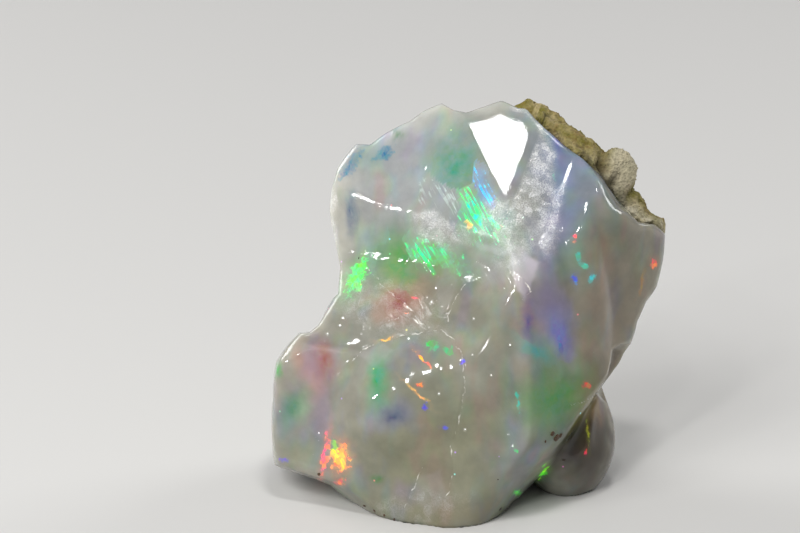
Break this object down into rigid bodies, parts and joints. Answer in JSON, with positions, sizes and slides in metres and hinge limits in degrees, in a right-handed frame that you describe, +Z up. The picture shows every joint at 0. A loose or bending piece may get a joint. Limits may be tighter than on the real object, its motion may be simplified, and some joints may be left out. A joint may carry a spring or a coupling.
{
  "type": "ethiopian opal",
  "caption": "Rough broken lump of milky precious opal with glassy curved breaks, play of colour and a rind of brown host rock, standing on a flat base.",
  "frame": {"origin": "middle of the stone's footprint, on the table that it stands on", "axes": "+Z up, +X to the right along the stone's width, -Y towards the broad glassy front"},
  "size_m": [0.0283, 0.0196, 0.0275],
  "materials": {
    "opal": "glassy, milky and translucent",
    "host_rock": "rough and crusty"
  },
  "bodies": {
    "root": {"opal": "opal", "matrix": "host_rock"}
  },
  "joints": []
}
